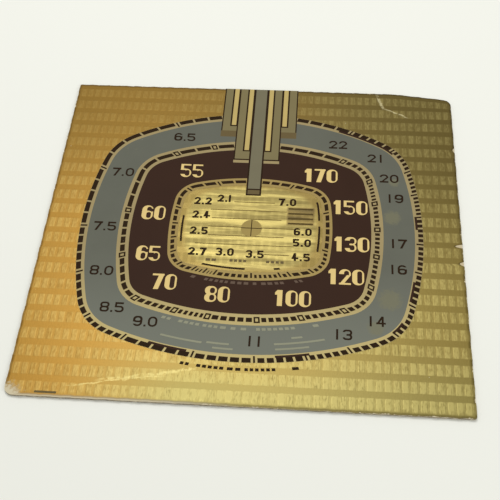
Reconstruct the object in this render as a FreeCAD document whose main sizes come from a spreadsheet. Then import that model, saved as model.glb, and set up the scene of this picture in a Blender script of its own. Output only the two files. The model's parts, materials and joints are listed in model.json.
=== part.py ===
# Tuning scale card of a three-band receiver: stout card faced with gold foil and printed in flat inks.
# Millimetres. The origin is at the middle of the card's back, +X to the right of the scale,
# +Y to its top and +Z out of the printed face.
import FreeCAD, Part
import math
import os
import re
import Sketcher
from FreeCAD import Vector

os.makedirs("parts", exist_ok=True)
doc = FreeCAD.newDocument("scale_card")
sheet = doc.addObject("Spreadsheet::Sheet", "Sizes")

SIZES = {
    # layers, from the back to the face
    "board_thickness": 1.2,
    "paste_thickness": 0.05,
    "foil_thickness": 0.15,
    "ink_thickness": 0.05,
    # centre line of the inner track, about an upright line a little left of the shaft
    "scale_shift": -0.43,
    "inner_half_width": 35.2,
    "inner_top_height": 27.35,
    "inner_foot_height": 26.4,
    # widths laid outwards from the inner track, at the sides, at the top and at the foot
    "maroon_side_width": 17.6,
    "maroon_top_width": 18.0,
    "maroon_foot_width": 17.3,
    "blue_side_width": 14.05,
    "blue_top_width": 14.3,
    "blue_foot_width": 14.0,
    "foil_side_width": 16.95,
    "foil_top_width": 17.8,
    "foil_foot_width": 19.75,
    # radii of each track's centre line: bulged sides, bulged top and foot, and the corners they meet in
    "inner_side_radius": 115.7,
    "inner_top_radius": 98.6,
    "inner_foot_radius": 111.1,
    "inner_top_corner": 10.3,
    "inner_foot_corner": 9.4,
    "middle_side_radius": 137.3,
    "middle_top_radius": 111.7,
    "middle_foot_radius": 140.8,
    "middle_top_corner": 15.3,
    "middle_foot_corner": 13.3,
    "outer_side_radius": 156.5,
    "outer_top_radius": 123.0,
    "outer_foot_radius": 159.5,
    "outer_top_corner": 24.9,
    "outer_foot_corner": 23.0,
    # tracks: dark blocks on a tan bed
    "inner_block_width": 1.7,
    "middle_block_width": 2.1,
    "outer_block_width": 2.2,
    "inner_rail_width": 1.3,
    "inner_lip_width": 1.4,
    "middle_rail_width": 1.7,
    "outer_rail_width": 1.5,
    "outer_lip_width": 0.1,
    "block_gap": 1.0,
    "mark_width": 0.8,
    "mark_clearance": 1.4,
    "mark_reach": 0.9,
    "frame_mark_width": 2.6,
    "frame_mark_line": 0.7,
    "frame_mark_clearance": 2.0,
    "tower_clearance": 0.3,
    "range_bar_width": 1.0,
    # numerals: cell, strokes, room beside a one and distance inside their track
    "outer_numeral_inset": 10.0,
    "outer_digit_width": 4.0,
    "outer_digit_height": 5.0,
    "outer_digit_stroke": 0.85,
    "outer_digit_bar": 0.8,
    "outer_digit_spacing": 0.8,
    "outer_one_margin": 1.1,
    "middle_numeral_inset": 12.0,
    "middle_digit_width": 5.2,
    "middle_digit_height": 8.1,
    "middle_digit_heavy": 2.2,
    "middle_digit_light": 0.85,
    "middle_digit_bar": 0.8,
    "middle_digit_spacing": 0.55,
    "middle_one_margin": 0.9,
    "middle_one_flag": 1.0,
    "centre_numeral_inset": 11.5,
    "centre_digit_width": 3.0,
    "centre_digit_height": 4.2,
    "centre_digit_stroke": 1.0,
    "centre_digit_bar": 0.85,
    "centre_digit_spacing": 0.6,
    # centre field
    "field_line_width": 0.4,
    "field_line_pitch": 4.9,
    "field_line_lift": 0.3,
    "guide_disc_radius": 4.76,
    "guide_cross_width": 0.35,
    "rule_inset": 3.8,
    "rule_width": 0.9,
    # dashes that stand in for words
    "dash_width": 1.3,
    "dash_gap": 0.7,
    "dash_pitch": 2.0,
    "outer_dash_offset": 4.3,
    "middle_dash_offset": 4.6,
    "inner_dash_offset": 3.8,
    "centre_dash_rise": 8.1,
    "blue_note_offset": 8.9,
    "note_row_pitch": 2.5,
    "note_row_width": 0.9,
    "centre_note_head_gap": 1.228,
    "centre_note_foot_gap": 1.943,
    "centre_note_side_inset": 7.2,
    "centre_note_length": 11.5,
    "corner_note_side_inset": 12.8,
    "corner_note_end_inset": 1.6,
    "corner_note_length": 9.0,
    # stepped tower, from its centre bar outwards
    "tower_shift": -0.4,
    "tower_line_width": 0.8,
    "tower_edge_width": 0.6,
    "slot_margin": 0.4,
    "slot_width": 2.2,
    "centre_bar_width": 7.2,
    "middle_step_width": 7.5,
    "outer_step_width": 7.6,
    "centre_foot_drop": 4.15,
    "centre_cap_height": 2.5,
    "middle_slot_drop": 2.95,
    "middle_foot_drop": 8.65,
    "middle_cap_height": 1.7,
    "outer_slot_drop": 6.2,
    "outer_foot_drop": 10.1,
    "outer_cap_height": 4.0,
    # worn outline of the card
    "corner_radius": 1.2,
    "rounded_corner_radius": 4.0,
    "worn_run": 28.0,
    "worn_drop": 3.2,
    "worn_corner_radius": 4.5,
}

# Pointer angles of the main marks, in degrees anticlockwise from +X.
OUTER_MARKS = [123.3, 156, 181.6, 200.3, 216.6, 230, 253.1, 274.8, 292.5, 306.5, 320.8, 332, 344.5, 356,
               367.5, 377.2, 387.2, 397.5, 413.4]
MIDDLE_MARKS = [113.7, 132.2, 172.5, 197.3, 220, 236.5, 251.9, 276.5, 297.6, 315.5, 331.5, 347, 362,
                376.8, 389.2, 405.5]
INNER_MARKS = [123.6, 145.2, 163.3, 178, 190.8, 203, 214.4, 224.5, 232.3, 240.2, 273.6, 299.3, 306.8,
               321.5, 342, 377, 415]
# Blocks in each run: from the tower to the first mark, from mark to mark and back to the tower.
OUTER_RUNS = [3] + 18 * [5] + [4]
MIDDLE_RUNS = [1, 2] + 14 * [5] + [4]
INNER_RUNS = 10 * [2] + [5, 5, 1, 2, 5, 5, 5, 3]
# Each numeral, its pointer angle and how much further in than its row it stands.
OUTER_NUMERALS = [("6.5", 123.9, -0.1), ("7.0", 154.4, 0.8), ("7.5", 181.8, 0.2), ("8.0", 202.3, 0.5),
                  ("8.5", 218.4, 1.0), ("9.0", 231.0, 1.2), ("11", 275.0, -1.0), ("13", 308.5, -1.3),
                  ("14", 320.7, -0.1), ("16", 343.7, -1.0), ("17", 355.4, -0.5), ("19", 377.2, -0.8),
                  ("20", 387.2, 0.1), ("21", 398.4, -0.1), ("22", 413.6, 0.4)]
MIDDLE_NUMERALS = [("55", 133.1, 1.8), ("60", 171.7, 0.1), ("65", 199.8, 0.0), ("70", 220.7, 2.4),
                   ("80", 251.2, -0.1), ("100", 299.0, -1.4), ("120", 330.5, 0.1), ("130", 351.5, -0.6),
                   ("150", 377.4, -0.4), ("170", 406.5, 1.5)]
CENTRE_NUMERALS = [("2.1", 129.4, -0.6), ("2.2", 147.8, -1.2), ("2.4", 163.9, 0.5), ("2.5", 185.8, 0.3),
                   ("2.7", 211.0, -0.6), ("3.0", 231.3, 2.5), ("3.5", 279.8, 0.6), ("4.5", 327.0, -1.7),
                   ("5.0", 343.0, 0.0), ("6.0", 357.7, -0.2), ("7.0", 405.1, 0.3)]
# Pointer angles between which a bar on the outer bed or a rule in the centre runs.
RANGE_BARS = [(237.5, 250.6), (282.2, 294), (320.9, 325.2), (333.1, 340.6), (362.2, 367.8), (396.3, 417.5)]
CENTRE_RULES = [(169.4, 195.6), (225, 266.3), (297.5, 303), (339, 364.7), (370.8, 389.2)]
# First and last angle of each group of dashes; in the centre, its first and last place across.
OUTER_TITLE = [(250.6, 253.4), (255.9, 264.7), (265.9, 267.8), (268.6, 270.3), (271.6, 276.2),
               (276.9, 281.6), (286.9, 289)]
BLUE_TITLE = [(234.4, 238), (241.3, 250.2), (251.8, 258.4), (259.6, 262.2), (264.4, 266.6),
              (269, 271.5), (276, 293), (300.4, 302.6)]
MAROON_TITLE = [(228, 230.6), (236.9, 242.8), (244.4, 254.4), (256.6, 260.3), (262.2, 265.6),
                (267.5, 271.3), (275, 278), (281.9, 290.6), (292.5, 299), (306.5, 311.3)]
CENTRE_TITLE = [(-19.2, -14.6), (-8.5, -1.1), (7.8, 15.6)]
# Rules on the blue band: first and last angle and the row.
BLUE_NOTES = [(239, 254.5, 1.4), (256.2, 265, 1.2), (259, 266.8, 2.1), (290, 294.3, 0), (282.7, 301.5, 1),
              (282.7, 295, 2)]
CENTRE_NOTE_ROWS = 4
CENTRE_NOTE_NEIGHBOURS = ("6.0", "7.0")
# Lines across the centre field: the row above or below the middle one, and the two ends, laid out from
# the inner track's sides where the numerals beside them are.
FIELD_LINES = [(3, "0 - 9.0", "10.0"),
               (2, "15.7 - inner_half_width", "inner_half_width - 19.4"),
               (1, "16.7 - inner_half_width", "inner_half_width - 21.7"),
               (0, "15.2 - inner_half_width", "inner_half_width - 15.7"),
               (-1, "15.8 - inner_half_width", "inner_half_width - 20.3"),
               (-2, "10.2 - inner_half_width", "inner_half_width - 15.2"),
               (-3, "6.5", "inner_half_width - 17.4")]

for row, (alias, number) in enumerate(SIZES.items(), start=1):
    sheet.set(f"A{row}", alias)
    sheet.set(f"B{row}", str(number))
    sheet.setAlias(f"B{row}", alias)
doc.recompute()


def bound(expression):
    # An expression in the sheet's words, as another object of the document reads it.
    def in_sheet(word):
        return "Sizes." + word.group() if word.group() in SIZES else word.group()

    return re.sub(r"[a-z_]+", in_sheet, expression)


def value(expression):
    # The number that the same expression has now.
    return float(sheet.evalExpression(expression))


# Heights of the layers above the back.
PASTE_Z = "board_thickness"
FOIL_Z = PASTE_Z + " + paste_thickness"
INK_Z = FOIL_Z + " + foil_thickness"
OVERPRINT_Z = INK_Z + " + ink_thickness"

# How far each bed reaches inside and outside its track's centre line.
INNER_IN = "(inner_block_width / 2 + inner_lip_width)"
INNER_OUT = "(inner_block_width / 2 + inner_rail_width)"
MIDDLE_REACH = "(middle_block_width / 2 + middle_rail_width)"
OUTER_IN = "(outer_block_width / 2 + outer_rail_width)"
OUTER_OUT = "(outer_block_width / 2 + outer_lip_width)"

# Half widths, heights above and depths below of the tracks and the card, each laid out from the one inside.
MIDDLE_W = f"(inner_half_width + {INNER_OUT} + maroon_side_width + {MIDDLE_REACH})"
MIDDLE_UP = f"(inner_top_height + {INNER_OUT} + maroon_top_width + {MIDDLE_REACH})"
MIDDLE_DOWN = f"(inner_foot_height + {INNER_OUT} + maroon_foot_width + {MIDDLE_REACH})"
OUTER_W = f"({MIDDLE_W} + {MIDDLE_REACH} + blue_side_width + {OUTER_IN})"
OUTER_UP = f"({MIDDLE_UP} + {MIDDLE_REACH} + blue_top_width + {OUTER_IN})"
OUTER_DOWN = f"({MIDDLE_DOWN} + {MIDDLE_REACH} + blue_foot_width + {OUTER_IN})"
CARD_W = f"({OUTER_W} + {OUTER_OUT} + foil_side_width)"
CARD_UP = f"({OUTER_UP} + {OUTER_OUT} + foil_top_width)"
CARD_DOWN = f"({OUTER_DOWN} + {OUTER_OUT} + foil_foot_width)"


class Track:
    # A closed line of four bulged sides and four round corners about the scales' upright line.
    def __init__(self, half_width, up, down, name):
        self.sizes = [half_width, up, down, f"{name}_side_radius", f"{name}_top_radius",
                      f"{name}_foot_radius", f"{name}_top_corner", f"{name}_foot_corner"]

    def at(self, offset):
        # The sizes of the parallel line that lies this far outside the track.
        return [f"({size} + {offset})" for size in self.sizes]


inner_track = Track("inner_half_width", "inner_top_height", "inner_foot_height", "inner")
middle_track = Track(MIDDLE_W, MIDDLE_UP, MIDDLE_DOWN, "middle")
outer_track = Track(OUTER_W, OUTER_UP, OUTER_DOWN, "outer")


def corner_arc(side_x, side, end_y, end, corner):
    # Centre and two angles of the round corner inside a side arc and an end arc.
    across = math.hypot(side_x, end_y)
    along = ((side - corner) ** 2 - (end - corner) ** 2 + across ** 2) / (2 * across)
    away = math.sqrt((side - corner) ** 2 - along ** 2)
    x = side_x - along * side_x / across - away * end_y / across
    y = along * end_y / across - away * side_x / across
    return x, y, math.atan2(y, x - side_x), math.atan2(y - end_y, x)


def outline_arcs(sizes, axis=0.0):
    # The eight arcs of a bulged outline, anticlockwise from the right side: centre, radius, two angles.
    half_width, up, down, side, top, foot, top_corner, foot_corner = [value(size) for size in sizes]
    side_x = half_width - side
    top_x, top_y, top_low, top_high = corner_arc(side_x, side, up - top, top, top_corner)
    foot_x, foot_y, foot_low, foot_high = corner_arc(side_x, side, down - foot, foot, foot_corner)
    half_turn = math.pi
    full_turn = 2 * math.pi
    return [(Vector(axis + side_x, 0, 0), side, -foot_low, top_low),
            (Vector(axis + top_x, top_y, 0), top_corner, top_low, top_high),
            (Vector(axis, up - top, 0), top, top_high, half_turn - top_high),
            (Vector(axis - top_x, top_y, 0), top_corner, half_turn - top_high, half_turn - top_low),
            (Vector(axis - side_x, 0, 0), side, half_turn - top_low, half_turn + foot_low),
            (Vector(axis - foot_x, -foot_y, 0), foot_corner, half_turn + foot_low, half_turn + foot_high),
            (Vector(axis, foot - down, 0), foot, half_turn + foot_high, full_turn - foot_high),
            (Vector(axis + foot_x, -foot_y, 0), foot_corner, full_turn - foot_high, full_turn - foot_low)]


def scale_arcs(sizes):
    # The outline where it lies on the card.
    return outline_arcs(sizes, value("scale_shift"))


def arc_edge(centre, radius, start, stop):
    return Part.ArcOfCircle(Part.Circle(centre, Vector(0, 0, 1), radius), start, stop)


def plane_of(body, role):
    return next(feature for feature in body.Origin.OriginFeatures if feature.Role == role)


def new_sketch(body, name, axis="0"):
    # A sketch on the body's base plane, its upright axis this far across.
    sketch = body.newObject("Sketcher::SketchObject", name)
    sketch.AttachmentSupport = [(plane_of(body, "XY_Plane"), "")]
    sketch.MapMode = "FlatFace"
    sketch.setExpression("AttachmentOffset.Base.x", bound(axis))
    return sketch


def constrain(sketch, expression, kind, *where):
    # A driving dimension that follows the sheet.
    index = sketch.addConstraint(Sketcher.Constraint(kind, *where, value(expression)))
    sketch.setExpression(f"Constraints[{index}]", bound(expression))


def draw_outline(sketch, sizes):
    # The bulged outline as eight tangent arcs, fully constrained.
    first = sketch.GeometryCount
    for arc in outline_arcs(sizes):
        sketch.addGeometry(arc_edge(*arc), False)
    for step in range(8):
        sketch.addConstraint(Sketcher.Constraint("Tangent", first + step, 2, first + (step + 1) % 8, 1))
    half_width, up, down, side, top, foot, top_corner, foot_corner = sizes
    for index, axis in ((0, -1), (4, -1), (2, -2), (6, -2)):
        sketch.addConstraint(Sketcher.Constraint("PointOnObject", first + index, 3, axis))
    for left, right in ((4, 0), (3, 1), (5, 7)):
        sketch.addConstraint(Sketcher.Constraint("Equal", first + left, first + right))
    for index, radius in ((0, side), (1, top_corner), (2, top), (6, foot), (7, foot_corner)):
        constrain(sketch, radius, "Radius", first + index)
    constrain(sketch, f"{side} - {half_width}", "DistanceX", first, 3, -1, 1)
    constrain(sketch, f"{side} - {half_width}", "DistanceX", -1, 1, first + 4, 3)
    constrain(sketch, f"{top} - {up}", "DistanceY", first + 2, 3, -1, 1)
    constrain(sketch, f"{foot} - {down}", "DistanceY", -1, 1, first + 6, 3)


def draw_polygon(sketch, corners):
    # Straight sides through corners that are given as pairs of expressions.
    points = [Vector(value(x), value(y), 0) for x, y in corners]
    count = len(points)
    first = sketch.GeometryCount
    for index in range(count):
        sketch.addGeometry(Part.LineSegment(points[index], points[(index + 1) % count]), False)
    for index in range(count):
        sketch.addConstraint(
            Sketcher.Constraint("Coincident", first + index, 2, first + (index + 1) % count, 1))
    for index, (x, y) in enumerate(corners):
        constrain(sketch, x, "DistanceX", -1, 1, first + index, 1)
        constrain(sketch, y, "DistanceY", -1, 1, first + index, 1)


def new_body(name, height):
    body = doc.addObject("PartDesign::Body", name)
    body.Label = name
    body.setExpression("Placement.Base.z", bound(height))
    return body


def pad(body, sketch, thickness):
    feature = body.newObject("PartDesign::Pad", body.Label + "_pad")
    feature.Profile = sketch
    feature.setExpression("Length", bound(thickness))
    sketch.Visibility = False
    return feature


def shape_feature(name, shape, height):
    feature = doc.addObject("Part::Feature", name)
    feature.Label = name
    feature.Shape = shape
    feature.Placement.Base.z = value(height)
    return feature


# The card, its paste and its foil share one worn outline.
def card_layer(name, height, thickness):
    body = new_body(name, height)
    sketch = new_sketch(body, name + "_outline")
    corners = [(f"0 - {CARD_W}", f"0 - {CARD_DOWN}"),
               (CARD_W, f"0 - {CARD_DOWN}"),
               (CARD_W, f"{CARD_UP} - worn_drop"),
               (f"{CARD_W} - worn_run", CARD_UP),
               (f"0 - {CARD_W}", CARD_UP)]
    draw_polygon(sketch, corners)
    base = pad(body, sketch, thickness)
    doc.recompute()
    radii = ["rounded_corner_radius", "corner_radius", "worn_corner_radius", None, "corner_radius"]
    for index, radius in enumerate(radii):
        if radius is None:
            continue
        place = Vector(value(corners[index][0]), value(corners[index][1]), 0)
        edge = next(number for number, line in enumerate(base.Shape.Edges, start=1)
                    if all((Vector(point.Point.x, point.Point.y, 0) - place).Length < 0.01
                           for point in line.Vertexes))
        fillet = body.newObject("PartDesign::Fillet", f"{name}_corner_{index}")
        fillet.Base = (base, [f"Edge{edge}"])
        fillet.setExpression("Radius", bound(radius))
        doc.recompute()
        base = fillet
    return body


# The tower stands on the scale: a centre bar between two steps on each side.
TOWER_1 = "centre_bar_width / 2"
TOWER_2 = f"({TOWER_1} + middle_step_width)"
TOWER_3 = f"({TOWER_2} + outer_step_width)"
CENTRE_FOOT = "(inner_top_height - centre_foot_drop)"
CENTRE_END = f"({CENTRE_FOOT} - tower_line_width - centre_cap_height - tower_line_width)"
MIDDLE_FOOT = f"({MIDDLE_UP} - middle_foot_drop)"
MIDDLE_END = f"({MIDDLE_FOOT} - tower_line_width - middle_cap_height)"
OUTER_FOOT = f"({OUTER_UP} - outer_foot_drop)"
OUTER_END = f"({OUTER_FOOT} - outer_cap_height)"
MIDDLE_SLOT_FOOT = f"({MIDDLE_UP} - middle_slot_drop)"
OUTER_SLOT_FOOT = f"({OUTER_UP} - outer_slot_drop)"
TOWER_CORNERS = [(TOWER_3, CARD_UP), (f"0 - {TOWER_3}", CARD_UP), (f"0 - {TOWER_3}", OUTER_END),
                 (f"0 - {TOWER_2}", OUTER_END), (f"0 - {TOWER_2}", MIDDLE_END),
                 (f"0 - {TOWER_1}", MIDDLE_END), (f"0 - {TOWER_1}", CENTRE_END),
                 (TOWER_1, CENTRE_END), (TOWER_1, MIDDLE_END), (TOWER_2, MIDDLE_END),
                 (TOWER_2, OUTER_END), (TOWER_3, OUTER_END)]


def tower_outline(sketch):
    draw_polygon(sketch, [(f"{x} + tower_shift", y) for x, y in TOWER_CORNERS])


def ink_ring(name, outside, inside):
    # Ink between two outlines, left open where the tower stands.
    body = new_body(name, INK_Z)
    sketch = new_sketch(body, name + "_outline", "scale_shift")
    draw_outline(sketch, outside)
    draw_outline(sketch, inside)
    pad(body, sketch, "ink_thickness")
    notch = new_sketch(body, name + "_tower")
    tower_outline(notch)
    pocket = body.newObject("PartDesign::Pocket", name + "_notch")
    pocket.Profile = notch
    pocket.Type = "ThroughAll"
    pocket.Midplane = True
    notch.Visibility = False
    return body


def tower_box(name, half_width, foot):
    # A block across the tower's axis, from a foot up to the card's top edge.
    box = doc.addObject("Part::Box", name)
    box.setExpression("Length", bound(f"2 * {half_width}"))
    box.setExpression("Width", bound(f"{CARD_UP} - {foot}"))
    box.setExpression("Height", bound("ink_thickness"))
    box.setExpression("Placement.Base.x", bound(f"tower_shift - {half_width}"))
    box.setExpression("Placement.Base.y", bound(foot))
    box.setExpression("Placement.Base.z", bound(INK_Z))
    return box


def cut(name, base, *tools):
    # The base with each tool taken away in turn.
    for number, tool in enumerate(tools, start=1):
        step = doc.addObject("Part::Cut", f"{name}_cut_{number}")
        step.Base = base
        step.Tool = tool
        base = step
    base.Label = name
    return base


def build_tower():
    middle_slot = f"({TOWER_1} + slot_margin + slot_width)"
    outer_slot = f"({TOWER_2} + slot_margin + slot_width)"
    line = "tower_line_width"
    centre = [tower_box("centre_face", f"({TOWER_1} - {line})", CENTRE_FOOT),
              tower_box("centre_width", TOWER_1, CENTRE_END),
              tower_box("centre_cap_top", f"({TOWER_1} - {line})", f"({CENTRE_FOOT} - {line})"),
              tower_box("centre_cap", f"({TOWER_1} - {line})", f"({CENTRE_END} + {line})")]
    middle = [tower_box("middle_width", TOWER_2, MIDDLE_END),
              tower_box("middle_above_cap", TOWER_2, f"({MIDDLE_END} + middle_cap_height)"),
              tower_box("middle_face", f"({TOWER_2} - tower_edge_width)", MIDDLE_FOOT),
              tower_box("middle_slot_line", f"({middle_slot} + {line})", f"({MIDDLE_SLOT_FOOT} - {line})"),
              tower_box("middle_slot", middle_slot, MIDDLE_SLOT_FOOT),
              tower_box("middle_slot_inside", f"({TOWER_1} + slot_margin)", MIDDLE_SLOT_FOOT)]
    outer = [tower_box("outer_width", TOWER_3, OUTER_END),
             tower_box("outer_above_cap", TOWER_3, OUTER_FOOT),
             tower_box("outer_face", f"({TOWER_3} - tower_edge_width)", OUTER_FOOT),
             tower_box("outer_slot_line", f"({outer_slot} + {line})", f"({OUTER_SLOT_FOOT} - {line})"),
             tower_box("outer_slot", outer_slot, OUTER_SLOT_FOOT),
             tower_box("outer_slot_inside", f"({TOWER_2} + slot_margin)", OUTER_SLOT_FOOT)]
    silhouette = doc.addObject("Part::MultiFuse", "tower_silhouette")
    silhouette.Shapes = [centre[1], middle[0], outer[0]]
    centre[0].Label = "tower_centre_bar"
    parts = [centre[0],
             cut("tower_centre_cap", centre[3], centre[2]),
             cut("tower_middle_faces", middle[2], centre[1], middle[3]),
             cut("tower_middle_caps", middle[0], middle[1], centre[1]),
             cut("tower_middle_slots", middle[4], middle[5]),
             cut("tower_outer_faces", outer[2], middle[0], outer[3]),
             cut("tower_outer_caps", outer[0], outer[1], middle[0]),
             cut("tower_outer_slots", outer[4], outer[5])]
    coloured = doc.addObject("Part::MultiFuse", "tower_coloured")
    coloured.Shapes = parts
    return parts + [cut("tower_outlines", silhouette, coloured)]


# Scale blocks, marks, bars, rules and dashes are stretches of a band between rays from the shaft.
def ray_meeting(arcs, angle):
    # Where a pointer angle meets an outline: the arc's number, the turn on it and the point.
    direction = Vector(math.cos(math.radians(angle)), math.sin(math.radians(angle)), 0)
    for number, (centre, radius, start, stop) in enumerate(arcs):
        along = direction.dot(centre)
        distance = along + math.sqrt(max(along ** 2 - centre.dot(centre) + radius ** 2, 0))
        point = direction * distance
        turn = math.atan2(point.y - centre.y, point.x - centre.x)
        turn = start + (turn - start) % (2 * math.pi)
        if turn <= stop + 1e-9:
            return number, turn, point
    raise ValueError(f"no outline at {angle} degrees")


def angle_of(arcs, angle, length):
    # The angle, in degrees, that this length along the outline takes up at a pointer angle.
    small = 0.01
    here = ray_meeting(arcs, angle)[2]
    there = ray_meeting(arcs, angle + small)[2]
    return small * length / (there - here).Length


def outline_stretch(arcs, start, stop):
    # The edges of an outline from one pointer angle to another, anticlockwise.
    first, first_turn, _ = ray_meeting(arcs, start)
    last, last_turn, _ = ray_meeting(arcs, stop)
    edges = []
    number = first
    while True:
        centre, radius, low, high = arcs[number]
        low = first_turn if number == first else low
        high = last_turn if number == last else high
        if high - low > 1e-7:
            edges.append(arc_edge(centre, radius, low, high).toShape())
        if number == last:
            return edges
        number = (number + 1) % len(arcs)


def band_pieces(track, low, high, spans):
    # Pieces of the band between two offsets of a track, one for each pair of pointer angles.
    near = scale_arcs(track.at(low))
    far = scale_arcs(track.at(high))
    solids = []
    for start, stop in spans:
        sides = [Part.makeLine(ray_meeting(near, angle)[2], ray_meeting(far, angle)[2])
                 for angle in (start, stop)]
        edges = outline_stretch(near, start, stop) + outline_stretch(far, start, stop) + sides
        face = Part.Face(Part.Wire(Part.sortEdges(edges)[0]))
        solids.append(face.extrude(Vector(0, 0, value("ink_thickness"))))
    return Part.makeCompound(solids)


def tower_angles(track):
    # Pointer angles at which the tower's left and right sides stand over a track.
    centre, radius, _, _ = scale_arcs(track.sizes)[2]
    top = centre.y + radius
    ends = {value(end): value(half) for end, half in
            ((CENTRE_END, TOWER_1), (MIDDLE_END, TOWER_2), (OUTER_END, TOWER_3))}
    half = max(width for end, width in ends.items() if end < top)
    sides = [value("tower_shift") - half, value("tower_shift") + half]
    heights = [centre.y + math.sqrt(radius ** 2 - (side - centre.x) ** 2) for side in sides]
    left, right = [math.degrees(math.atan2(height, side)) for side, height in zip(sides, heights)]
    return left, right + math.degrees(2 * math.pi)


def scale_spans(track, marks, runs, mark_space):
    # Angles of the blocks in every run, clear of the marks and of the tower.
    arcs = scale_arcs(track.sizes)
    half_gap = value("block_gap") / 2
    left, right = tower_angles(track)
    ends = [(angle, value(mark_space)) for angle in marks]
    ends = [(left, value("tower_clearance"))] + ends + [(right, value("tower_clearance"))]
    spans = []
    for (start, start_space), (stop, stop_space), count in zip(ends[:-1], ends[1:], runs):
        start += angle_of(arcs, start, start_space - half_gap)
        stop -= angle_of(arcs, stop, stop_space - half_gap)
        step = (stop - start) / count
        for number in range(count):
            middle = start + (number + 0.5) * step
            half = (step - angle_of(arcs, middle, 2 * half_gap)) / 2
            spans.append((middle - half, middle + half))
    return spans


def mark_spans(track, marks, width):
    arcs = scale_arcs(track.sizes)
    spans = []
    for angle in marks:
        half = angle_of(arcs, angle, width) / 2
        spans.append((angle - half, angle + half))
    return spans


def frame_marks(track, low, high, marks):
    # Open frames in place of plain ticks.
    line = value("frame_mark_line")
    width = value("frame_mark_width")
    frames = band_pieces(track, low, high, mark_spans(track, marks, width))
    windows = band_pieces(track, f"({low} + frame_mark_line)", f"({high} - frame_mark_line)",
                          mark_spans(track, marks, width - 2 * line))
    return Part.makeCompound([frame.cut(window) for frame, window in zip(frames.Solids, windows.Solids)])


def dash_row(start, stop, pitch, gap):
    # As many dashes of one length as fit best between two places.
    count = max(1, round((stop - start) / pitch))
    step = (stop - start + gap) / count
    return [(start + number * step, start + (number + 1) * step - gap) for number in range(count)]


def dash_spans(track, groups):
    arcs = scale_arcs(track.sizes)
    spans = []
    for start, stop in groups:
        middle = (start + stop) / 2
        spans += dash_row(start, stop, angle_of(arcs, middle, value("dash_pitch")),
                          angle_of(arcs, middle, value("dash_gap")))
    return spans


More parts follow.
